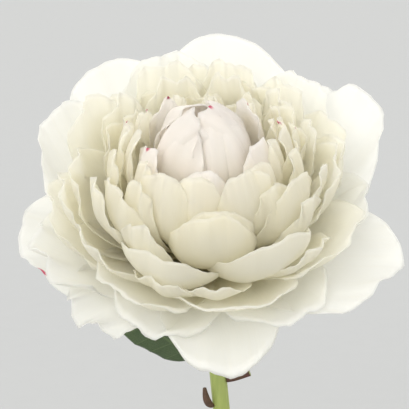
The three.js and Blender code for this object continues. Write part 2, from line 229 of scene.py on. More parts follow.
glaze, place = new_finish("vase_glaze")
height = place.node("SeparateXYZ", {"Vector": place}, output=2)
cloud = place.grain(28, 4)
speck = place.grain(900, 2).fade(0.7, 0.76)
turning = (height * 900 + place.grain(9, 2) * 3).maths("SINE", height * 900 + place.grain(9, 2) * 3)
foot = (height + cloud * 0.003).fade(0.0062, 0.0048)
glaze_colour = cloud.tint(opaque((0.78, 0.75, 0.68)), opaque((0.84, 0.82, 0.76)))
glaze_colour = (speck * 0.55).tint(glaze_colour, opaque((0.34, 0.25, 0.16)))
clay_colour = place.grain(420, 3).tint(opaque((0.38, 0.28, 0.2)), opaque((0.5, 0.4, 0.3)))
vase_colour = foot.tint(glaze_colour, clay_colour)
vase_skin = turning * 0.12 + place.grain(240, 3) * 0.3 + foot * place.grain(1500, 3)
vase_bump = vase_skin.bump(0.35, 0.0005)
show(glaze, place.node(
    "BsdfPrincipled",
    {
        "Base Color": vase_colour,
        "Roughness": 0.26 + cloud * 0.1 + foot * 0.5,
        "Coat Weight": (1 - foot) * 0.35,
        "Coat Roughness": 0.12,
        "Normal": vase_bump,
    },
))

vase = piece_from("bud_vase", vase_points, ring_faces(len(profile), vase_sides), [glaze])
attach(vase, "root")
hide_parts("vase")


# ---- Stem ----------------------------------------------------------------------------------------
# The cut stem, a fresh yellow-green stalk with fine ribs along it. It leans in the vase, with its cut
# end on the inner floor and its side against the throat, and bends forwards under the bloom.

stem_radius = 3.5
stem_lean = 5.5
stem_rise = 86
stem_bend = 54
stem_bend_pull = 0.36
seat_gap = 0.3
vase_height = 148
bloom_nod, bloom_side = 33, -2

nod, side = math.radians(bloom_nod), math.radians(bloom_side)
bloom_axis = Vector(
    (math.cos(nod) * math.sin(side), -math.sin(nod), math.cos(nod) * math.cos(side))
)
bloom_turn = np.array(Vector((0, 0, 1)).rotation_difference(bloom_axis).to_matrix())
receptacle_points = np.array([v.co for v in parts["receptacle"].data.vertices]) / MM
along_axis = receptacle_points @ np.array(bloom_axis)
bloom_seat = receptacle_points[along_axis < along_axis.min() + 0.05].mean(0)

lean_slope = math.tan(math.radians(stem_lean))
lean_half = stem_radius / math.cos(math.radians(stem_lean))
throat, _ = bezier(neck_corners, np.linspace(0, 1, 25))
throat_reach = throat[:, 0] - vase_wall
lean_at_floor = np.max(lean_half + seat_gap - throat_reach + lean_slope * throat[:, 1])
cut_height = vase_floor + seat_gap + stem_radius * math.sin(math.radians(stem_lean))
bend_height = vase_height + stem_rise - stem_bend
lean_way = np.array([-lean_slope, 0, 1]) / math.hypot(lean_slope, 1)
cut_end = np.array([lean_at_floor - lean_slope * cut_height, 0, cut_height])
bend_start = np.array([lean_at_floor - lean_slope * bend_height, 0, bend_height])
stem_top = bloom_seat - np.array(bloom_axis) * seat_gap
bend_corners = [
    bend_start,
    bend_start + lean_way * stem_bend * stem_bend_pull,
    stem_top - np.array(bloom_axis) * stem_bend * stem_bend_pull,
    stem_top,
]
straight = np.linspace(cut_end, bend_start, 60)[:-1]
bent, _ = bezier(bend_corners, np.linspace(0, 1, 44))
stem_line = np.vstack([straight, bent])


def tube_points(line, radii, sides, ribs=0, rib_depth=0.0, phase=0.0):
    """Rings round a line, one for each of its points, with low ribs along it."""
    line = np.asarray(line, float)
    ahead = np.gradient(line, axis=0)
    ahead /= np.linalg.norm(ahead, axis=1, keepdims=True)
    across = np.cross(ahead, (0.02, 1, 0.01))
    across /= np.linalg.norm(across, axis=1, keepdims=True)
    other = np.cross(ahead, across)
    turn = np.linspace(0, 2 * math.pi, sides, endpoint=False)
    swell = 1 + rib_depth * np.cos(ribs * turn + phase)
    radii = np.broadcast_to(radii, len(line))[:, None] * swell[None]
    cosine, sine = np.cos(turn)[None, :, None], np.sin(turn)[None, :, None]
    ring = across[:, None] * cosine + other[:, None] * sine
    return (line[:, None] + ring * radii[..., None]).reshape(-1, 3)


def closed_tube(name, line, radii, sides, finishes, **ribs):
    points = tube_points(line, radii, sides, **ribs)
    faces = ring_faces(len(line), sides)
    for end, order in ((0, -1), (len(line) - 1, 1)):
        middle = len(points)
        points = np.vstack([points, line[end]])
        first = end * sides
        for k in range(sides):
            pair = (first + k, first + (k + 1) % sides)[::order]
            faces.append((*pair, middle))
    return piece_from(name, points, faces, finishes)


stem_skin, place = new_finish("stem_skin")
height = place.node("SeparateXYZ", {"Vector": place}, output=2)
stretch = place.node("Mapping", {"Vector": place, "Scale": (1, 1, 0.045)})
streak = stretch.grain(1100, 3, 0.6)
blotch = place.grain(60, 3)
green = streak.tint(opaque((0.255, 0.33, 0.075)), opaque((0.46, 0.52, 0.16)))
green = (blotch.fade(0.5, 0.75) * 0.5).tint(green, opaque((0.34, 0.4, 0.13)))
green = (height.fade(0.17, 0.09) * 0.6).tint(green, opaque((0.2, 0.28, 0.06)))
blush = height.fade(0.19, 0.225) * 0.25 * streak
green = blush.tint(green, opaque((0.34, 0.22, 0.12)))
show(stem_skin, place.node(
    "BsdfPrincipled",
    {
        "Base Color": green,
        "Roughness": 0.42 + blotch * 0.14,
        "Subsurface Weight": 0.15,
        "Subsurface Radius": (0.0012, 0.0014, 0.0005),
        "Subsurface Scale": 1.0,
        "Normal": (streak * 0.8 + blotch * 0.2).bump(0.5, 0.0004),
    },
))

swell = np.ones(len(stem_line)) * stem_radius * 0.985
swell[:3] *= 0.985
stem = closed_tube("cut_stem", stem_line, swell, 48, [stem_skin], ribs=11, rib_depth=0.022)
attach(stem, "root")
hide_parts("stem")


# ---- Leaf ----------------------------------------------------------------------------------------
# One dark leaf, which leaves the stem on a short stalk behind the lowest petals. Its upper side is
# smooth with sunk veins, its under side pale, and its lower edge turns in to show that pale side.

leaf_node_height = 36
leaf_length, leaf_width = 70, 25
leaf_start = np.array([-0.9, 0.38, 0.2])
leaf_reach = np.array([-0.72, 0.38, 0.28])
leaf_tip = np.array([-0.9, 0.3, 0.06])
leaf_bend = 0.35
leaf_edge = np.array([0.1, -0.25, 1])
leaf_fold = 0.22
leaf_widest = 0.8
leaf_stalk_width, leaf_stalk_share = 2.6, 0.08
leaf_thickness = 0.9


def stem_point(height_on_stem):
    line = stem_line
    return np.array([np.interp(height_on_stem, line[:, 2], line[:, k]) for k in range(3)])


def root_on(height_above_mouth, way, half_thickness):
    way = np.array([way[0], way[1], 0.0])
    way /= np.linalg.norm(way)
    clear = stem_radius + seat_gap + half_thickness
    return stem_point(vase_height + height_above_mouth) + way * clear


def unit(vectors):
    return vectors / np.linalg.norm(vectors, axis=-1, keepdims=True)


def sheet_grid(across, along):
    u, v = np.meshgrid(np.linspace(-1, 1, across + 1), np.linspace(0, 1, along + 1))
    return u, v


def sheet_piece(name, middle, thickness, finishes, u, v, marks=()):
    """A closed thin sheet from a grid of its middle surface, with its lie as a UV map."""
    rows, columns = u.shape
    sideways, onwards = np.gradient(middle, axis=1), np.gradient(middle, axis=0)
    facing = unit(np.cross(sideways, onwards) + 1e-12)
    half = np.broadcast_to(thickness, u.shape)[..., None] / 2
    points = np.concatenate([middle + facing * half, middle - facing * half]).reshape(-1, 3)
    back, faces = rows * columns, []
    for j in range(rows - 1):
        for i in range(columns - 1):
            a = j * columns + i
            faces.append((a, a + 1, a + columns + 1, a + columns))
            b = a + back
            faces.append((b, b + columns, b + columns + 1, b + 1))
    rim = list(range(columns - 1))
    rim += [j * columns + columns - 1 for j in range(rows - 1)]
    rim += [(rows - 1) * columns + i for i in range(columns - 1, 0, -1)]
    rim += [j * columns for j in range(rows - 1, 0, -1)]
    for k, a in enumerate(rim):
        b = rim[(k + 1) % len(rim)]
        faces.append((a, a + back, b + back, b))
    piece = piece_from(name, points, faces, finishes)
    lie = piece.data.uv_layers.new(name="lie")
    corner = np.zeros(len(piece.data.loops), np.int64)
    piece.data.loops.foreach_get("vertex_index", corner)
    flat = np.stack([(u.ravel() + 1) / 2, v.ravel()], -1)
    flat = np.concatenate([flat, flat])
    lie.data.foreach_set("uv", flat[corner].astype(np.float32).ravel())
    for mark, value in marks:
        layer = piece.data.attributes.new(mark, "FLOAT", "POINT")
        spread = np.broadcast_to(value, u.shape).ravel()
        layer.data.foreach_set("value", np.concatenate([spread, spread]).astype(np.float32))
    return piece


def leaf_surface(u, v):
    root = root_on(leaf_node_height, leaf_start, leaf_thickness / 2)
    start = leaf_start / np.linalg.norm(leaf_start)
    tip = root + leaf_reach * leaf_length
    leave = root + start * leaf_length * leaf_bend
    arrive = tip - leaf_tip * leaf_length * leaf_bend
    corners = [root, leave, arrive, tip]
    middle, ahead = bezier(np.broadcast_to(np.array(corners), (*u.shape, 4, 3)), v)
    upwards = unit(leaf_edge - ahead * (ahead @ leaf_edge)[..., None])
    front = np.cross(ahead, upwards)
    blade = np.clip(v - leaf_stalk_share, 0, 1) / (1 - leaf_stalk_share)
    outline = np.sin(math.pi * blade**leaf_widest)
    wave = 1 + 0.035 * np.sin(17 * v + 2 * np.sign(u)) * outline
    half = (leaf_stalk_width + (leaf_width - leaf_stalk_width) * outline) / 2 * wave
    drop = -leaf_fold * np.abs(u) * half
    veins = np.abs(np.sin(math.pi * 8 * (v - 0.16 * np.abs(u)))) ** 0.7
    drop = drop + outline * (0.55 * (veins - 0.6) * np.abs(u) ** 0.6)
    drop = drop + outline * 1.3 * np.sin(9 * v + 1.5 * u) * np.abs(u) ** 2
    curl = np.clip(-u - 0.72, 0, 1) / 0.28
    half_now = half * (1 - 0.05 * curl**2)
    drop = drop + outline * 2.2 * curl**2
    groove = -0.45 * np.exp(-((u * 12) ** 2)) * (v > leaf_stalk_share)
    return middle + upwards * (u * half_now)[..., None] + front * (drop + groove)[..., None]


leaf_skin, place = new_finish("leaf_skin")
lie = place.node("UVMap", {}, uv_map="lie")
across = lie.node("SeparateXYZ", {"Vector": lie}, output=0)
along = lie.node("SeparateXYZ", {"Vector": lie}, output=1)
off_rib = (across * 2 - 1).maths("ABSOLUTE", across * 2 - 1)
rib = off_rib.fade(0.09, 0.0)
slant = along * 8 - off_rib * 1.28
vein_wave = (slant * math.pi).maths("SINE", slant * math.pi)
vein = vein_wave.maths("ABSOLUTE", vein_wave).fade(0.16, 0.0) * off_rib.fade(1.0, 0.7)
cells = lie.node("Mapping", {"Vector": lie, "Scale": (26, 60, 1)})
net = lie.node("TexVoronoi", {"Vector": cells, "Scale": 1.0}, feature="DISTANCE_TO_EDGE")
fine = net.fade(0.09, 0.0)
mottle = place.grain(90, 4)
lines = (rib + vein * 0.75 + fine * 0.28).maths("MINIMUM", rib + vein * 0.75 + fine * 0.28, 1.0)
top_colour = mottle.tint(opaque((0.030, 0.062, 0.018)), opaque((0.068, 0.105, 0.036)))
top_colour = (lines * 0.5).tint(top_colour, opaque((0.13, 0.19, 0.065)))
top_colour = (off_rib.fade(0.93, 1.0) * 0.5).tint(top_colour, opaque((0.16, 0.17, 0.06)))
under_colour = mottle.tint(opaque((0.26, 0.31, 0.19)), opaque((0.38, 0.42, 0.28)))
under_colour = (lines * 0.6).tint(under_colour, opaque((0.46, 0.5, 0.33)))
leaf_side = lie.node("Attribute", {}, output=2, attribute_name="under")
stalk = along.fade(0.1, 0.04)
leaf_colour = leaf_side.tint(top_colour, under_colour)
leaf_colour = stalk.tint(leaf_colour, opaque((0.075, 0.035, 0.028)))
show(leaf_skin, place.node(
    "BsdfPrincipled",
    {
        "Base Color": leaf_colour,
        "Roughness": 0.36 + leaf_side * 0.3 + mottle * 0.12,
        "Normal": (mottle * 0.35 - lines * 0.6).bump(0.55, 0.0006),
    },
))

u, v = sheet_grid(40, 90)
leaf = sheet_piece("peony_leaf", leaf_surface(u, v), 0.45, [leaf_skin], u, v)
under = leaf.data.attributes.new("under", "FLOAT", "POINT")
under_value = np.concatenate([np.zeros(u.size), np.ones(u.size)])
under.data.foreach_set("value", under_value.astype(np.float32))
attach(leaf, "root")
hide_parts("leaf")


# ---- Stub and scale ------------------------------------------------------------------------------
# On the right the stub of a leaf stalk that was cut away, brown with a green cut face, and lower down
# on the left a dry brown scale that lies along the stem. Both grow out of the stem's side.

cut_stalk_height, cut_stalk_length, cut_stalk_radius = 28.5, 9.5, 1.5
cut_stalk_way = np.array([0.9, -0.1, 0.25])
dry_scale_height, dry_scale_length, dry_scale_radius = 17, 9, 1.1
dry_scale_way = np.array([-0.4, -0.2, 0.95])


def stalk_line(height_above_mouth, way, length, steps):
    root = root_on(height_above_mouth, way, 0)
    out = np.array([way[0], way[1], 0])
    out = out / np.linalg.norm(out)
    reach = way / np.linalg.norm(way) * length
    a, b, c = root - out * seat_gap, root + out * length * 0.35, root + reach
    t = np.linspace(0, 1, steps)[:, None]
    return (1 - t) ** 2 * a + 2 * (1 - t) * t * b + t**2 * c


bark, place = new_finish("bark")
fibre = place.grain(700, 5, 0.65)
patch = place.grain(180, 3)
bark_colour = fibre.tint(opaque((0.035, 0.02, 0.012)), opaque((0.17, 0.09, 0.05)))
bark_colour = (patch.fade(0.5, 0.7) * 0.6).tint(bark_colour, opaque((0.11, 0.03, 0.03)))
show(bark, place.node(
    "BsdfPrincipled",
    {
        "Base Color": bark_colour,
        "Roughness": 0.5 + fibre * 0.3,
        "Normal": (fibre + patch * 0.4).bump(0.7, 0.0005),
    },
))
cut_face, place = new_finish("cut_face")
pith = place.grain(900, 3)
show(cut_face, place.node(
    "BsdfPrincipled",
    {
        "Base Color": pith.tint(opaque((0.2, 0.24, 0.07)), opaque((0.42, 0.44, 0.2))),
        "Roughness": 0.55 + pith * 0.2,
        "Normal": pith.bump(0.4, 0.0003),
    },
))

line = stalk_line(cut_stalk_height, cut_stalk_way, cut_stalk_length, 22)
share = np.linspace(0, 1, 22)
radii = cut_stalk_radius * (1.25 - 0.5 * share + 0.2 * share**4)
stub = closed_tube("cut_stalk_stub", line, radii, 20, [bark, cut_face], ribs=5, rib_depth=0.06)
for face in stub.data.polygons[-20:]:
    face.material_index = 1
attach(stub, "root")
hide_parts("cut_stalk")

line = stalk_line(dry_scale_height, dry_scale_way, dry_scale_length, 24)
share = np.linspace(0, 1, 24)
radii = dry_scale_radius * (0.55 + 0.75 * np.sin(math.pi * np.clip(share * 0.9 + 0.08, 0, 1)))
scale = closed_tube("dry_stem_scale", line, radii, 16, [bark], ribs=4, rib_depth=0.12)
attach(scale, "root")
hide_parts("dry_scale")


# ---- Receptacle and sepals -----------------------------------------------------------------------
# The green knob on which every petal sits, and under it five cupped green sepals that held the bud
# shut and now lie back under the guard petals.

receptacle_sizes = {"foot": 4.6, "rim": 12.5, "rim_height": 3.4, "top": 3, "top_height": 18}
bloom_radius, bloom_height, bloom_spread = 74, 76, 0.14
petal_widest, petal_tip_width = 0.66, 0.94
petal_tip_round, petal_tip_square = 0.27, 2.6
claw_tuck = 0.044
whorl_count = 8


def in_row(points):
    """From the bloom's own frame to the row's, in millimetres."""
    return np.asarray(points) @ bloom_turn.T + bloom_seat


def seat_on(share, thickness):
    r = receptacle_sizes
    rim = np.array([r["rim"], r["rim_height"]])
    end = np.array([r["foot"], 0]) if share < 0 else np.array([r["top"], r["top_height"]])
    way = end - rim
    out = np.array([way[1], -way[0]]) / np.linalg.norm(way)
    out = -out if share < 0 else out
    return rim + way * abs(share) + out * (seat_gap + thickness / 2)


def rib_corners(whorl, seat, turn):
    """The curve that a petal of this whorl follows at each compass angle, in radius and height."""
    share = (1 + np.sin(turn)) / 2

    def value(name):
        front, back = whorl[name]
        return front + (back - front) * share

    radius = bloom_radius * (1 + bloom_spread * np.cos(turn) ** 2)
    tip = np.stack([value("reach") * radius, value("rise") * bloom_height], -1)
    hold = (np.linalg.norm(tip - seat, axis=-1) * whorl["belly"])[..., None]
    lift, lean = np.radians(value("lift")), np.radians(value("lean"))
    leave = seat + np.stack([np.cos(lift), np.sin(lift)], -1) * hold
    arrive = tip - np.stack([np.sin(lean), np.cos(lean)], -1) * hold
    return np.stack([np.broadcast_to(seat, tip.shape), leave, arrive, tip], -2)


def petal_surface(whorl, petal, seat, u, v):
    """The middle surface of a petal in the bloom's frame: a patch of its whorl's bowl, with its own
    cup across, ruffled and ragged rim, notches, and a lip that curls out or in."""
    rng = np.random.default_rng(petal["seed"])
    look = {**whorl, **petal}
    at, length = math.radians(petal["at"]), petal["length"]
    middle = rib_corners(whorl, seat, np.array(at))
    width = math.radians(petal["span"]) * bezier(middle, petal_widest * length)[0][0]
    claw = math.radians(whorl["claw"]) * seat[0]
    widen = np.sin(math.pi / 2 * np.minimum(1, v / petal_widest))
    narrow = np.clip((v - petal_widest) / (1 - petal_widest), 0, 1) ** 2
    tip_width = look.get("tip_width", petal_tip_width)
    full = claw + (width - claw) * widen
    half = full / 2 * (1 - (1 - tip_width) * narrow)
    ragged = look.get("ragged", 0.008)
    rim = sum(
        ragged / k**0.8 * np.sin(k * 1.9 * u + rng.uniform(0, 7)) for k in (1, 2, 3, 5, 8, 13, 21)
    )
    reach = 1 - look.get("tip_round", petal_tip_round) * v * np.abs(u) ** petal_tip_square
    reach = reach + (rim - ragged) * v**6
    for where, depth, wide in look.get("notches", ()):
        reach = reach - depth * np.exp(-(((u - where) / wide) ** 2)) * v**8
    lip_share, lip_turn = look.get("lip", (0.1, 0))
    s = np.clip((v - (1 - lip_share)) / lip_share, 0, 1)
    rib_length = np.linalg.norm(middle[3] - middle[0]) * 1.15 * length
    lip_length = lip_share * rib_length
    bend = math.radians(lip_turn) * (1 - 0.5 * np.abs(u)) * s + 1e-6
    lip_out = lip_length * s * (1 - np.cos(bend)) / bend
    lip_back = lip_length * s * (1 - np.sin(bend) / bend)
    place = length * v * reach - lip_back / rib_length
    base = bezier(np.broadcast_to(middle, (*u.shape, 4, 2)), place)[0][..., 0]
    turn = at + u * half / np.maximum(base, claw / 2)
    point, ahead = bezier(rib_corners(whorl, seat, turn), place)
    tuck = (claw_tuck + (whorl["tuck"] / width - claw_tuck) * widen) * 2 * half
    out = petal["flare"] * v**3 + u * tuck + lip_out
    out = out - look.get("cup", 0.1) * half * (np.abs(u) ** 2.2 - 0.3) * widen
    wave, waves = look.get("wave", 1.2), look.get("waves", 3.2)
    drift = rng.uniform(-0.6, 0.6) + 0.8 * np.sin(3 * v + rng.uniform(0, 6))
    out = out + wave * v**5 * np.sin(waves * math.pi * u + rng.uniform(0, 7) + drift)
    out = out + 0.5 * wave * v**3 * np.sin(1.3 * waves * u + rng.uniform(0, 7)) * np.abs(u)
    out = out + 0.28 * wave * v**7 * np.sin(3.1 * waves * math.pi * u + rng.uniform(0, 7))
    fold = look.get("fold", 0.35)
    out = out + fold * np.sin(5.2 * u + rng.uniform(0, 7)) * np.sin(math.pi * v) ** 0.7
    out = out + 0.35 * fold * np.sin(13 * u + rng.uniform(0, 7) + 2 * v) * v
    sway = look.get("sway", 1.0) * rng.uniform(-1, 1)
    turn = turn + sway * 0.03 * v**2
    radius = point[..., 0] + ahead[..., 1] * out
    height_up = point[..., 1] - ahead[..., 0] * out
    slide = look.get("slide", 0) * v**3
    east = radius * np.cos(turn) - slide * math.cos(at)
    north = radius * np.sin(turn) - slide * math.sin(at)
    return np.stack([east, north, height_up], -1)


sepal_skin, place = new_finish("sepal_skin")
lie = place.node("UVMap", {}, uv_map="lie")
along = lie.node("SeparateXYZ", {"Vector": lie}, output=1)
ribbing = lie.node("Mapping", {"Vector": lie, "Scale": (30, 1.5, 1)}).grain(1, 3)
mottle = place.grain(120, 4)
sepal_colour = mottle.tint(opaque((0.17, 0.24, 0.06)), opaque((0.33, 0.4, 0.15)))
red_tip = along.fade(0.75, 1.0) * 0.45 * ribbing
sepal_colour = red_tip.tint(sepal_colour, opaque((0.3, 0.08, 0.07)))
show(sepal_skin, place.node(
    "BsdfPrincipled",
    {
        "Base Color": sepal_colour,
        "Roughness": 0.42 + mottle * 0.16,
        "Normal": (ribbing + mottle * 0.3).bump(0.4, 0.0004),
    },
))

r = receptacle_sizes
receptacle_profile = np.array([
    (axis_hole, 0), (r["foot"] * 0.95, 0), (r["foot"], 0.3), (8, 1.4), (11.4, 2.7),
    (r["rim"], r["rim_height"]), (12.1, 4.3), (9.3, 8.5), (6.2, 13.2),
    (r["top"] + 0.4, 17.4), (r["top"] - 0.6, 18.4), (axis_hole, 19.4),
])
around = np.linspace(0, 2 * math.pi, 40, endpoint=False)
knob = np.stack(
    [
        receptacle_profile[:, None, 0] * np.cos(around),
        receptacle_profile[:, None, 0] * np.sin(around),
        np.broadcast_to(receptacle_profile[:, None, 1], (len(receptacle_profile), 40)),
    ],
    -1,
)
knob_faces = ring_faces(len(receptacle_profile), 40)
receptacle = piece_from("receptacle_knob", in_row(knob.reshape(-1, 3)), knob_faces, [sepal_skin])
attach(receptacle, "root")
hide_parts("receptacle")

sepals = {
    "claw": 46, "tuck": 0.4, "belly": 0.4,
    "reach": (0.42, 0.4), "rise": (-0.13, 0.06), "lift": (-28, -14), "lean": (96, 66),
    "wave": 0.5, "fold": 0.3, "cup": 0.25, "tip_width": 0.5, "tip_round": 0.3,
}
sepal_seat = -0.42
sepal_list = [(-96, 42, 1), (-22, 45, 0.94), (48, 38, 1), (118, 48, 0.94), (-168, 38, 1)]
u, v = sheet_grid(18, 20)
for k, (at, span, length) in enumerate(sepal_list):
    petal = {"at": at, "span": span, "length": length, "flare": 0, "seed": 40 + k}
    surface = petal_surface(sepals, petal, seat_on(sepal_seat, 1.2), u, v)
    sepal = sheet_piece(f"green_sepal_{k + 1}", in_row(surface), 0.8, [sepal_skin], u, v)
    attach(sepal, "root")
    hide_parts(f"sepal_{k + 1}")


# ---- Guard petals --------------------------------------------------------------------------------
# The two outer whorls: broad thin petals, pure white and see-through at the rim, cream at the claw,
# with fine veins that fan out from it. They spread level in front and stand up behind the bloom.

petal_thickness = 0.8
petal_sheet = 0.32


def petal_flesh(name, root, middle, rim, glow, glow_share, blush=None):
    """A petal's flesh: its colour from claw to rim, and how much light comes through it."""
    finish, place = new_finish(name)
    lie = place.node("UVMap", {}, uv_map="lie")
    across = lie.node("SeparateXYZ", {"Vector": lie}, output=0)
    along = lie.node("SeparateXYZ", {"Vector": lie}, output=1)
    own = lie.node("Attribute", {}, output=2, attribute_name="own")
    fleck_at = lie.node("Attribute", {}, output=2, attribute_name="fleck")
    fan = lie.node("CombineXYZ", {"X": across * 46, "Y": along * 1.6, "Z": own * 9})
    vein = fan.grain(1, 4, 0.62)
    wide_fan = lie.node("CombineXYZ", {"X": across * 13, "Y": along * 1.1, "Z": own * 5})
    pleat = wide_fan.grain(1, 2)
    cloud = place.grain(70, 3)
    crepe = place.grain(900, 3)
    rise = along + (cloud - 0.5) * 0.35 + (own - 0.5) * 0.12
    stops = [(0.0, root), (0.46, middle), (0.84, rim), (1.0, rim)]
    colour = rise.node("ValToRGB", {"Fac": rise}, stops=stops)
    colour = (vein.fade(0.5, 0.72) * 0.2).tint(colour, opaque((0.96, 0.9, 0.74)))
    if blush:
        colour = ((cloud.fade(0.35, 0.65)) * 0.75).tint(colour, opaque(blush))
    near = (across - fleck_at).maths("ABSOLUTE", across - fleck_at) + (pleat - 0.5) * 0.09
    fleck = near.fade(0.035, 0.01) * (along + (vein - 0.5) * 0.06).fade(0.968, 0.99)
    colour = (fleck * 0.92).tint(colour, opaque((0.5, 0.012, 0.075)))
    folds = vein * 0.5 + pleat * 0.9 + crepe * 0.12
    skin = place.node(
        "BsdfPrincipled",
        {
            "Base Color": colour,
            "Roughness": 0.5 + vein * 0.2,
            "Specular IOR Level": 0.32,
            "Sheen Weight": 0.12,
            "Sheen Roughness": 0.5,
            "Normal": folds.bump(0.55, 0.0009),
        },
    )
    through = place.node("BsdfTranslucent", {"Color": opaque(glow)})
    share = (glow_share + along.fade(0.5, 1.0) * 0.08) * (1 - fleck)
    return show(finish, place.node("MixShader", {"Fac": share, 1: skin, 2: through}))


guard_flesh = petal_flesh(
    "guard_petal_flesh",
    (0.992, 0.955, 0.72), (0.993, 0.985, 0.93), (0.992, 0.992, 0.98),
    (1.0, 0.995, 0.96), 0.6,
)


def add_whorl(name, order, whorl, petals, finish, grid=(30, 34)):
    """One whorl of petals, each in the place of its own solid."""
    seat = seat_on((order + 0.4) / whorl_count, petal_thickness)
    u, v = sheet_grid(*grid)
    for k, petal in enumerate(petals):
        petal = {"seed": order * 20 + k, "flare": 0, "fleck": -9, **petal}
        surface = petal_surface(whorl, petal, seat, u, v)
        own = np.random.default_rng(petal["seed"] + 500).uniform(0, 1)
        marks = [("own", own), ("fleck", petal["fleck"])]
        sheet = petal_sheet * (1 - 0.45 * v)
        piece = sheet_piece(f"{name}_sheet_{k + 1}", in_row(surface), sheet, [finish], u, v, marks)
        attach(piece, "root")
        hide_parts(f"{name}_petal_{k + 1}")


guard_low = {
    "claw": 40, "tuck": 2.7, "belly": 0.4,
    "reach": (0.9, 0.95), "rise": (0.05, 0.75), "lift": (-8, 12), "lean": (84, 22),
    "wave": 1.6, "waves": 2.6, "cup": 0.16, "fold": 0.6,
}
add_whorl("guard_low", 0, guard_low, [
    {"at": -85, "span": 59, "length": 0.94, "cup": 0.3, "lip": (0.09, 100), "wave": 1.0},
    {"at": -21, "span": 63, "length": 1.01, "flare": 1, "wave": 2.4, "waves": 2.2},
    {"at": 34, "span": 60, "length": 1.02, "flare": 2, "wave": 2.2, "notches": [(0.5, 0.05, 0.12)]},
    {"at": 80, "span": 68, "length": 1, "wave": 1.1, "waves": 1.8, "tip_round": 0.16},
    {"at": 123, "span": 60, "length": 1, "wave": 1.5},
    {"at": -176, "span": 55, "length": 0.93, "flare": 2, "wave": 2.2, "fleck": 0.8},
    {"at": -144, "span": 44, "length": 0.85, "flare": 2, "wave": 3.4, "waves": 3.1, "fold": 1.3,
     "ragged": 0.02},
], guard_flesh)

guard_high = {
    "claw": 41, "tuck": 2.3, "belly": 0.42,
    "reach": (0.83, 0.84), "rise": (0.26, 0.76), "lift": (0, 22), "lean": (44, 10),
    "wave": 1.5, "waves": 2.8, "cup": 0.18, "fold": 0.6,
}
add_whorl("guard_high", 1, guard_high, [
    {"at": -50, "span": 62, "length": 0.82, "lip": (0.08, 60), "wave": 1.2},
    {"at": 3, "span": 52, "length": 0.83, "wave": 1.6},
    {"at": 52, "span": 56, "length": 0.96, "wave": 1.8},
    {"at": 105, "span": 60, "length": 1, "wave": 1.8, "waves": 3.4},
    {"at": 150, "span": 51, "length": 1.02, "wave": 1.6},
    {"at": -164, "span": 54, "length": 0.95, "wave": 2.6, "waves": 3.6, "ragged": 0.025},
    {"at": -116, "span": 62, "length": 0.78, "lip": (0.09, 85), "wave": 1.2},
], guard_flesh)


# ---- Bowl petals ---------------------------------------------------------------------------------
# Inside the guards come two whorls of deep spoon-shaped petals, thicker and creamier, which overlap
# round the bloom like the sides of a bowl. Those in front roll their rims outwards.

bowl_flesh = petal_flesh(
    "bowl_petal_flesh",
    (1.0, 0.915, 0.56), (0.998, 0.976, 0.875), (0.996, 0.991, 0.97),
    (1.0, 0.985, 0.91), 0.66,
)
bowl_outer = {
    "claw": 42, "tuck": 2.3, "belly": 0.43,
    "reach": (0.72, 0.7), "rise": (0.44, 0.76), "lift": (8, 30), "lean": (16, 0),
    "wave": 1.3, "waves": 2.8, "cup": 0.2, "fold": 0.5,
}
add_whorl("bowl_outer", 2, bowl_outer, [
    {"at": -77, "span": 73, "length": 0.98, "lip": (0.08, 55), "wave": 0.8},
    {"at": -24, "span": 59, "length": 0.97, "lip": (0.07, 40), "wave": 1.2},
    {"at": 27, "span": 55, "length": 0.96, "wave": 1.6, "notches": [(-0.3, 0.05, 0.1)]},
    {"at": 84, "span": 64, "length": 1, "wave": 1.9, "waves": 3.8, "notches": [(0.1, 0.05, 0.09)]},
    {"at": 136, "span": 58, "length": 0.96, "wave": 1.8},
    {"at": -175, "span": 53, "length": 0.98, "wave": 1.6},
    {"at": -126, "span": 57, "length": 1, "lip": (0.08, 60), "wave": 1.0},
], bowl_flesh)

bowl_inner = {
    "claw": 46, "tuck": 1.9, "belly": 0.44,
    "reach": (0.59, 0.58), "rise": (0.64, 0.77), "lift": (15, 37), "lean": (-8, -6),
    "wave": 1.2, "waves": 3, "cup": 0.2, "fold": 0.5,
}
add_whorl("bowl_inner", 3, bowl_inner, [
    {"at": -56, "span": 65, "length": 1, "wave": 0.6, "cup": 0.34},
    {"at": 4, "span": 59, "length": 0.97, "wave": 1.4},
    {"at": 62, "span": 62, "length": 0.98, "wave": 1.8, "waves": 3.8},
    {"at": 118, "span": 63, "length": 0.96, "wave": 1.8, "waves": 3.6,
     "notches": [(0.2, 0.07, 0.1)]},
    {"at": 176, "span": 56, "length": 1, "wave": 1.6},
    {"at": -116, "span": 64, "length": 0.98, "wave": 0.7, "cup": 0.34},
], bowl_flesh)


# ---- Petals between the bowls --------------------------------------------------------------------
# Smaller petals of the same flesh that stand between the two bowl whorls and inside them, so that no
# gap shows between their neighbours. They grow from the same knob.


def add_between(name, share, whorl, petals, finish, grid=(24, 30)):
    """A loose set of extra petals, joined into one piece."""
    seat = seat_on(share, petal_thickness)
    u, v = sheet_grid(*grid)
    made = []
    for k, (at, span, length, *rest) in enumerate(petals):
        petal = {"at": at, "span": span, "length": length, "flare": 0, "fleck": -9}
        petal = {**petal, "seed": int(share * 1000) + k, **(rest[0] if rest else {})}
        surface = petal_surface(whorl, petal, seat, u, v)
        own = np.random.default_rng(petal["seed"] + 900).uniform(0, 1)
        marks = [("own", own), ("fleck", petal["fleck"])]
        sheet = petal_sheet * (1 - 0.45 * v)
        made.append(sheet_piece(name, in_row(surface), sheet, [finish], u, v, marks))
    with bpy.context.temp_override(active_object=made[0], selected_editable_objects=made):
        bpy.ops.object.join()
    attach(made[0], "root")


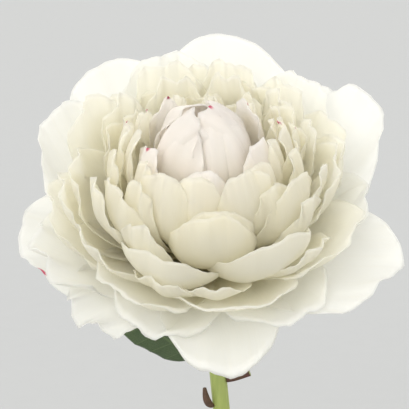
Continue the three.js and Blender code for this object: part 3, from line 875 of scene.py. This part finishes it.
between_bowls = {
    "claw": 40, "tuck": 1.2, "belly": 0.435,
    "reach": (0.655, 0.64), "rise": (0.54, 0.765), "lift": (11.5, 33.5), "lean": (4, -3),
    "wave": 1.2, "waves": 3, "cup": 0.2, "fold": 0.5, "ragged": 0.012,
}
add_between("between_the_bowls", 0.36, between_bowls, [
    (-88, 46, 0.9, {"wave": 0.8}), (-38, 44, 0.93), (16, 40, 0.96),
    (48, 42, 1.03, {"wave": 1.8, "waves": 2.6}),
    (76, 44, 1.07, {"wave": 1.9, "waves": 2.6}), (108, 48, 1.1, {"wave": 2.0, "waves": 2.8}),
    (148, 48, 1.1, {"wave": 2.0, "waves": 2.6}), (-174, 42, 1.03, {"wave": 1.6}),
    (-148, 46, 0.96), (-112, 44, 0.94),
], bowl_flesh)
inside_bowls = {
    "claw": 40, "tuck": 1.1, "belly": 0.445,
    "reach": (0.52, 0.52), "rise": (0.74, 0.79), "lift": (18, 40), "lean": (-16, -9),
    "wave": 1.1, "waves": 3, "cup": 0.22, "fold": 0.5, "ragged": 0.012,
}
add_between("inside_the_bowls", 0.49, inside_bowls, [
    (-30, 36, 0.94), (-8, 30, 0.97), (22, 30, 1.0), (46, 30, 1.04, {"wave": 1.8}),
    (74, 40, 1.06, {"wave": 1.7}),
    (106, 44, 1.07, {"wave": 1.9}), (140, 42, 1.06, {"wave": 1.7}),
    (-158, 36, 1.03), (-128, 36, 0.98),
], bowl_flesh)


# ---- Cup petals ----------------------------------------------------------------------------------
# Narrower petals that stand round the heart and lean in over it, ribbed lengthwise, with frilled and
# notched tips. A few carry the crimson fleck of this peony on the tip.

cup_flesh = petal_flesh(
    "cup_petal_flesh",
    (1.0, 0.895, 0.48), (0.998, 0.972, 0.86), (0.996, 0.99, 0.965),
    (1.0, 0.98, 0.89), 0.66,
)
cup_outer = {
    "claw": 46, "tuck": 1.5, "belly": 0.45,
    "reach": (0.45, 0.46), "rise": (0.8, 0.8), "lift": (22, 43), "lean": (-24, -12),
    "wave": 1.1, "waves": 3.2, "cup": 0.22, "fold": 0.6, "ragged": 0.012,
}
add_whorl("cup_outer", 4, cup_outer, [
    {"at": -88, "span": 63, "length": 0.99, "wave": 0.9, "cup": 0.3},
    {"at": -28, "span": 56, "length": 1, "wave": 0.9},
    {"at": 32, "span": 56, "length": 1, "wave": 1.5, "fleck": 0.7},
    {"at": 90, "span": 60, "length": 0.92, "wave": 1.8, "fleck": 0.3},
    {"at": 148, "span": 54, "length": 0.96, "wave": 1.5},
    {"at": -152, "span": 56, "length": 1, "wave": 1.2},
], cup_flesh)

cup_inner = {
    "claw": 48, "tuck": 1.2, "belly": 0.46,
    "reach": (0.32, 0.35), "rise": (0.92, 0.88), "lift": (31, 50), "lean": (-36, -16),
    "wave": 1.0, "waves": 3.2, "cup": 0.24, "fold": 0.6, "ragged": 0.014,
}
add_whorl("cup_inner", 5, cup_inner, [
    {"at": -58, "span": 57, "length": 1, "wave": 1.1},
    {"at": 6, "span": 53, "length": 1, "wave": 1.2, "fleck": 0.6},
    {"at": 66, "span": 51, "length": 0.86, "wave": 1.2},
    {"at": 172, "span": 50, "length": 1, "wave": 1.3, "fleck": 0.4},
    {"at": -124, "span": 57, "length": 1, "wave": 1.1},
], cup_flesh)


# ---- Petals between the cups ---------------------------------------------------------------------
# Narrow ribbed petals packed between the cups, most of them behind and on the right of the heart.

between_cups = {
    "claw": 36, "tuck": 0.9, "belly": 0.455,
    "reach": (0.385, 0.405), "rise": (0.87, 0.84), "lift": (26.5, 46.5), "lean": (-30, -14),
    "wave": 1.0, "waves": 3, "cup": 0.3, "fold": 0.7, "ragged": 0.016,
}
add_between("between_the_cups", 0.61, between_cups, [
    (-82, 62, 0.9, {"cup": 0.4}), (-42, 36, 0.97), (-12, 28, 0.99), (12, 26, 1.0, {"fleck": 0.5}),
    (34, 26, 0.98),
    (56, 28, 1.0), (84, 30, 0.95), (112, 32, 0.95), (146, 30, 0.99), (-172, 32, 1.0),
    (-140, 34, 0.99),
], cup_flesh)
inside_cups = {
    "claw": 36, "tuck": 0.8, "belly": 0.46,
    "reach": (0.27, 0.3), "rise": (0.95, 0.92), "lift": (36, 53), "lean": (-40, -18),
    "wave": 0.9, "waves": 3, "cup": 0.3, "fold": 0.7, "ragged": 0.018,
}
add_between("inside_the_cups", 0.735, inside_cups, [
    (-98, 60, 0.94, {"cup": 0.4}), (-40, 44, 0.96), (-14, 30, 0.97), (16, 28, 0.98), (44, 28, 0.97),
    (82, 34, 0.93), (116, 32, 0.96), (150, 30, 1.02, {"fleck": 0.4}), (-176, 30, 1.0),
    (-146, 32, 0.96),
], cup_flesh)


# ---- Heart ---------------------------------------------------------------------------------------
# The closed heart of the bloom: small blush petals folded over one another like a bud, inside a crown
# of narrow ones with crimson flecks at their tips.

heart_flesh = petal_flesh(
    "heart_petal_flesh",
    (0.996, 0.92, 0.76), (0.996, 0.962, 0.91), (0.994, 0.972, 0.945),
    (1.0, 0.98, 0.945), 0.54,
    (0.993, 0.948, 0.912),
)
crown = {
    "claw": 48, "tuck": 0.9, "belly": 0.46,
    "reach": (0.2, 0.24), "rise": (0.98, 0.97), "lift": (41, 56), "lean": (-44, -20),
    "wave": 0.9, "waves": 3, "cup": 0.26, "fold": 0.6, "ragged": 0.016,
}
add_whorl("crown", 6, crown, [
    {"at": -94, "span": 66, "length": 0.9, "wave": 1.0},
    {"at": -26, "span": 62, "length": 0.96, "wave": 0.9},
    {"at": 36, "span": 48, "length": 1, "fleck": 0.5, "notches": [(0, 0.05, 0.14)]},
    {"at": 132, "span": 40, "length": 1.02, "fleck": 0.5},
    {"at": -158, "span": 52, "length": 0.95, "fleck": 0.5},
], heart_flesh, grid=(24, 30))

heart = {
    "claw": 48, "tuck": 1.6, "belly": 0.4,
    "reach": (0.05, 0.08), "rise": (0.98, 1), "lift": (54, 62), "lean": (-78, -62),
    "wave": 0.7, "waves": 2, "cup": 0.05, "fold": 1.1, "ragged": 0.014, "tip_round": 0.2,
}
add_whorl("heart", 7, heart, [
    {"at": -59, "span": 108, "length": 0.97},
    {"at": 30, "span": 104, "length": 1, "fleck": 0.5},
    {"at": 118, "span": 108, "length": 1},
    {"at": -150, "span": 112, "length": 0.98},
], heart_flesh, grid=(30, 34))


# The tips of the innermost petals, twisted shut over the top of the heart.

heart_tips = {
    "claw": 50, "tuck": 1.4, "belly": 0.38,
    "reach": (0.09, 0.1), "rise": (1.03, 1.05), "lift": (60, 66), "lean": (-66, -58),
    "wave": 0.9, "waves": 2, "cup": 0.12, "fold": 1.3, "ragged": 0.02, "tip_round": 0.3,
}
add_between("heart_tips", 0.965, heart_tips, [
    (118, 96, 1.0, {"slide": 5}), (-160, 92, 1.0, {"slide": 6}),
    (-24, 88, 1.02, {"slide": 7, "fleck": 0.6}),
    (-86, 84, 0.98, {"slide": 9}),
], heart_flesh, grid=(30, 36))


# ---- Floor and light -----------------------------------------------------------------------------
# A wide pale grey floor, an even sky of soft light, and one large soft lamp in front on the left.

floor_size = 24.0
sky_strength, key_strength, key_spread = 1.16, 1.1, 50
bpy.ops.mesh.primitive_grid_add(x_subdivisions=4, y_subdivisions=4, size=floor_size)
floor = bpy.context.object
floor.name = "studio_floor"
paper, place = new_finish("studio_paper")
tooth = place.grain(60, 3)
show(paper, place.node(
    "BsdfPrincipled",
    {
        "Base Color": tooth.tint(opaque((0.488, 0.493, 0.487)), opaque((0.503, 0.508, 0.502))),
        "Roughness": 0.9,
        "Specular IOR Level": 0.1,
    },
))
floor.data.materials.append(paper)

world = bpy.data.worlds.new("studio_sky")
world.use_nodes = True
sky = world.node_tree.nodes["Background"]
sky.inputs["Color"].default_value = (1.0, 1.0, 1.0, 1)
sky.inputs["Strength"].default_value = sky_strength
bpy.context.scene.world = world
bpy.context.scene.cycles.diffuse_bounces = 12

sun = bpy.data.lights.new("soft_key", "SUN")
sun.energy = key_strength
sun.angle = math.radians(key_spread)
sun.color = (1.0, 0.985, 0.95)
key = bpy.data.objects.new("soft_key", sun)
key.rotation_euler = (-Vector((-0.4, -0.8, 0.5))).to_track_quat("-Z", "Y").to_euler()
bpy.context.scene.collection.objects.link(key)
